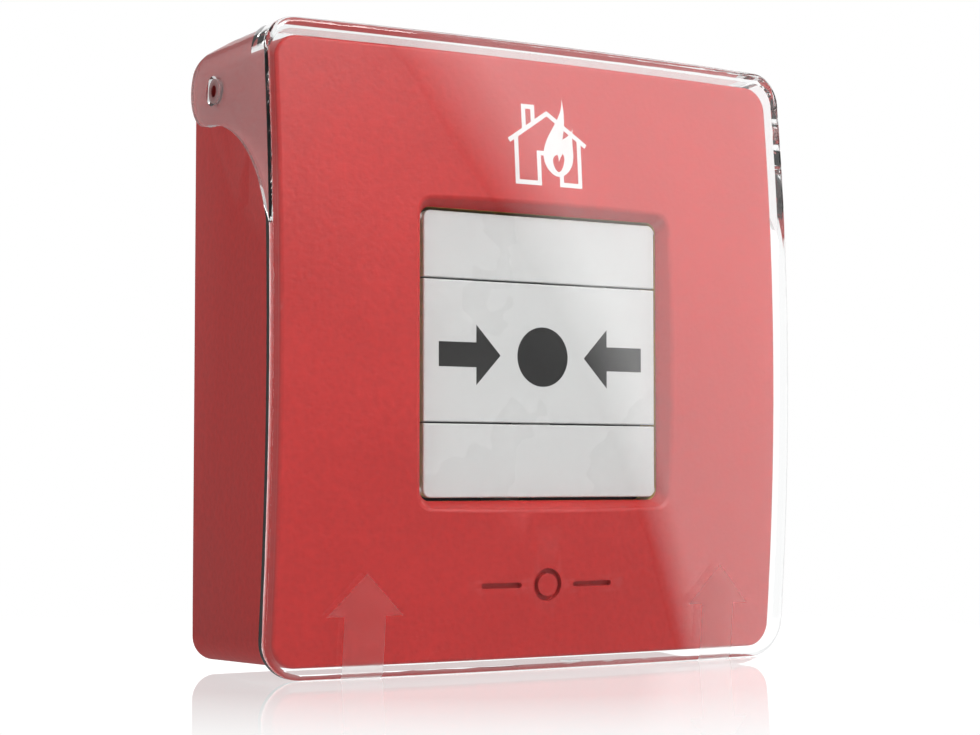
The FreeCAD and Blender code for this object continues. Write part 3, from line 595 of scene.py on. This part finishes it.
aim = Vector((-2.0, -20.9, -1.4)) * mm
camera_distance = 448.3 * mm
camera_turn = math.radians(31.175)
camera_rise = math.radians(2.981)


def towards(target, turn, rise, distance):
    """Point at the given distance from target, seen along turn and rise."""
    flat = math.cos(rise)
    look = Vector((math.sin(turn) * flat, math.cos(turn) * flat, math.sin(rise)))
    return target - look * distance


camera_data = bpy.data.cameras.new("camera")
camera_data.lens = 77.77
camera_data.sensor_width = 36.0
camera_data.clip_start = 0.01
camera = bpy.data.objects.new("camera", camera_data)
camera.location = towards(aim, camera_turn, camera_rise, camera_distance)
camera.rotation_euler = (math.pi / 2 + camera_rise, 0, -camera_turn)
bpy.context.scene.collection.objects.link(camera)
bpy.context.scene.camera = camera


# ------------------------------------------------------------------ table and backdrop
# A polished white table that the object just touches, and a pale card behind it. The lid doesn't
# mirror the table, as on a table that is cut off short in front of the object.

def card(name, half_width, half_height, place, turn, material):
    """Flat staged card; turn is its (x, y, z) Euler angles."""
    mesh = bpy.data.meshes.new(name)
    corners = [(-half_width, -half_height, 0), (half_width, -half_height, 0),
               (half_width, half_height, 0), (-half_width, half_height, 0)]
    mesh.from_pydata(corners, [], [(0, 1, 2, 3)])
    mesh.materials.append(material)
    obj = bpy.data.objects.new(name, mesh)
    obj.location = place
    obj.rotation_euler = turn
    bpy.context.scene.collection.objects.link(obj)
    return obj


def mix_shaders(tree, factor, a, b):
    mix = tree.nodes.new("ShaderNodeMixShader")
    feed(tree, mix.inputs["Fac"], factor)
    tree.links.new(a.outputs[0], mix.inputs[1])
    tree.links.new(b.outputs[0], mix.inputs[2])
    return mix


def white_glow(tree, strength):
    glow = tree.nodes.new("ShaderNodeEmission")
    feed(tree, glow.inputs["Strength"], strength)
    return glow


polished_r = 0.09
plain_r = 0.165


def table_white():
    """Polished near the object, plain glowing white further off, absent in mirrors."""
    material = bpy.data.materials.new("table_white")
    material.use_nodes = True
    tree = material.node_tree
    shader = tree.nodes["Principled BSDF"]
    shader.inputs["Base Color"].default_value = (0.12, 0.12, 0.12, 1)
    shader.inputs["Roughness"].default_value = 0.02
    shader.inputs["IOR"].default_value = 1.38
    shader.inputs["Emission Color"].default_value = (1, 1, 1, 1)
    shader.inputs["Emission Strength"].default_value = 0.58
    away = tree.nodes.new("ShaderNodeVectorMath")
    away.operation = "LENGTH"
    tree.links.new(object_place(tree), away.inputs[0])
    far = remap(tree, away.outputs["Value"], polished_r, plain_r, 0.0, 1.0)
    white = mix_shaders(tree, far, shader, white_glow(tree, 1.0))
    path = tree.nodes.new("ShaderNodeLightPath")
    not_mirrored = calc(tree, "LESS_THAN", path.outputs["Glossy Depth"], 0.5)
    clear = tree.nodes.new("ShaderNodeBsdfTransparent")
    seen = mix_shaders(tree, not_mirrored, clear, white)
    tree.links.new(seen.outputs[0], tree.nodes["Material Output"].inputs["Surface"])
    return material


def glowing(name, strength):
    material = bpy.data.materials.new(name)
    material.use_nodes = True
    tree = material.node_tree
    tree.nodes.remove(tree.nodes["Principled BSDF"])
    glow = white_glow(tree, strength)
    tree.links.new(glow.outputs[0], tree.nodes["Material Output"].inputs["Surface"])
    return material


table_gap = 0.1 * mm
table_half = 4.0
floor_z = cad_box[0][2] - table_gap
card("table", table_half, table_half, (0, 0, floor_z), (0, 0, 0), table_white())
backdrop_away = 2.2
behind = towards(aim, camera_turn, 0, -backdrop_away)
card("backdrop", 1.5, 1.2, (behind[0], behind[1], 0.9), (math.pi / 2, 0, -camera_turn),
     glowing("backdrop_white", 1.0))


# ------------------------------------------------------------------ soft box
# One large soft box to the front right. Its slanting, softly fading left edge shows in the lid.

soft_box_w = 0.85
soft_box_h = 1.4
soft_box_strength = 1.9
soft_box_lean = math.radians(27)
edge_left = 0.179
edge_rise = 0.42
below_edge_top = 0.45


def soft_box_cloth():
    """Bright cloth that fades out towards its left edge, faster at the bottom than at the top."""
    material = glowing("soft_box_cloth", 1.0)
    tree = material.node_tree
    parts = tree.nodes.new("ShaderNodeSeparateXYZ")
    tree.links.new(object_place(tree), parts.inputs[0])
    fade_width = remap(tree, parts.outputs["Y"], -0.5, 0.5, 0.03, 0.12)
    from_edge = calc(tree, "ADD", parts.outputs["X"], soft_box_w / 2)
    ramp = calc(tree, "DIVIDE", from_edge, fade_width)
    glow = [n for n in tree.nodes if n.type == "EMISSION"][0]
    tree.links.new(remap(tree, ramp, 0.0, 1.0, 0.0, soft_box_strength), glow.inputs["Strength"])
    return material


mirrored_way = Vector((0.517, -0.854, 0.052)).normalized()
side = Vector((0.855, 0.518, 0.0)).normalized()
up = mirrored_way.cross(side)
edge_down = side * math.sin(soft_box_lean) - up * math.cos(soft_box_lean)
across = side * math.cos(soft_box_lean) + up * math.sin(soft_box_lean)
edge_top = mirrored_way - side * edge_left + up * edge_rise
centre = edge_top + edge_down * below_edge_top + across * (soft_box_w / 2)
basis = Matrix((across, -edge_down, across.cross(-edge_down))).transposed()
soft_box = card("soft_box", soft_box_w / 2, soft_box_h / 2, (0, 0, 0), (0, 0, 0),
                soft_box_cloth())
soft_box.matrix_world = Matrix.Translation(centre) @ basis.to_4x4()


# ------------------------------------------------------------------ lamps and room
# A high frontal lamp, a narrow strip to the left for the lid's rounded edge, and a pale room that
# is dark only where the lid's flat front would mirror it.

def lamp(name, place, width, height, watts):
    light = bpy.data.lights.new(name, "AREA")
    light.shape = "RECTANGLE"
    light.size = width
    light.size_y = height
    light.energy = watts
    obj = bpy.data.objects.new(name, light)
    obj.location = place
    obj.rotation_euler = (-Vector(place)).to_track_quat("-Z", "Y").to_euler()
    bpy.context.scene.collection.objects.link(obj)


lamp("front_box", (0.28, -1.1, 0.95), 0.6, 0.6, 13.0)
lamp("left_strip", (-0.76, -0.47, 0.12), 0.06, 1.0, 1.0)

cone_edge = 0.70                # cosines between which the dark cone fades in
cone_heart = 0.86
room_light = 0.2
world = bpy.data.worlds.new("studio")
bpy.context.scene.world = world
world.use_nodes = True
tree = world.node_tree
way = tree.nodes.new("ShaderNodeTexCoord").outputs["Generated"]
along = tree.nodes.new("ShaderNodeVectorMath")
along.operation = "DOT_PRODUCT"
along.inputs[1].default_value = mirrored_way
tree.links.new(way, along.inputs[0])
mirrored_room = remap(tree, along.outputs["Value"], cone_edge, cone_heart, 0.34, 0.08)
path = tree.nodes.new("ShaderNodeLightPath")
after_diffuse = calc(tree, "GREATER_THAN", path.outputs["Diffuse Depth"], 0.5)
after_mirror = calc(tree, "GREATER_THAN", path.outputs["Glossy Depth"], 0.5)
in_lid = calc(tree, "GREATER_THAN", path.outputs["Transmission Depth"], 0.5)
long_way = calc(tree, "GREATER_THAN", path.outputs["Glossy Depth"], 3.5)
lit_inside = remap(tree, along.outputs["Value"], cone_edge, cone_heart, 0.75, 0.2)
lid_glow = remap(tree, long_way, 0.0, 1.0, lit_inside, 0.04)
any_room = remap(tree, in_lid, 0.0, 1.0, mirrored_room, lid_glow)
seen_room = remap(tree, after_mirror, 0.0, 1.0, 1.0, any_room)
strength = remap(tree, after_diffuse, 0.0, 1.0, seen_room, room_light)
tree.links.new(strength, tree.nodes["Background"].inputs["Strength"])
tree.nodes["Background"].inputs["Color"].default_value = (1, 1, 1, 1)

scene = bpy.context.scene
scene.view_settings.view_transform = "Standard"
scene.cycles.max_bounces = 20
scene.cycles.diffuse_bounces = 3
scene.cycles.glossy_bounces = 14
scene.cycles.transmission_bounces = 16
scene.cycles.sample_clamp_indirect = 4.0
